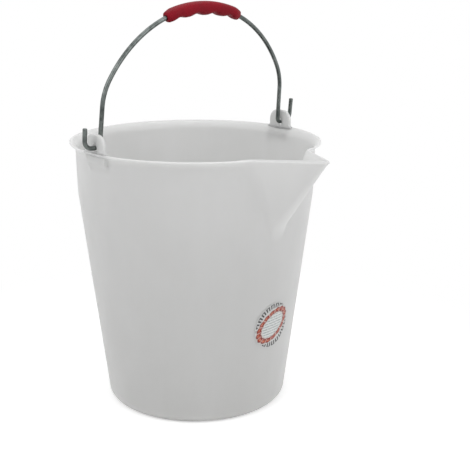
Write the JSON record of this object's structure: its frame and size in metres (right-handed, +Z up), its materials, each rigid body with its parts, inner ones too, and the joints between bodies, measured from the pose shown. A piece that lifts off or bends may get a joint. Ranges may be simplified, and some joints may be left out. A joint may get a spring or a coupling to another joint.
{
  "type": "fermenting bucket",
  "caption": "Tapered translucent plastic pail with a pouring spout, a swinging wire bail hooked through two ears, and a scalloped hand grip.",
  "frame": {"origin": "centre of the foot ring that the bucket stands on", "axes": "+Z up along the bucket's axis; -Y towards the pouring spout; X along the bail's pivot, through both ears"},
  "size_m": [0.3165, 0.3499, 0.4666],
  "materials": {
    "natural_plastic": "translucent natural polyethylene, satin",
    "zinc_wire": "bright zinc-plated wire, satin",
    "red_plastic": "moulded crimson plastic, satin",
    "label_film": "printed clear film sticker"
  },
  "bodies": {
    "pail": {"bucket": "natural_plastic", "label": "label_film"},
    "bail": {"bail_wire": "zinc_wire", "hand_grip": "red_plastic"}
  },
  "joints": [
    {"name": "bail_swing", "type": "hinge", "parent": "pail", "child": "bail", "pos_m": [0, 0, 0.3166], "axis": [1, 0, 0], "range_deg": [-94.1, 82.6]}
  ]
}
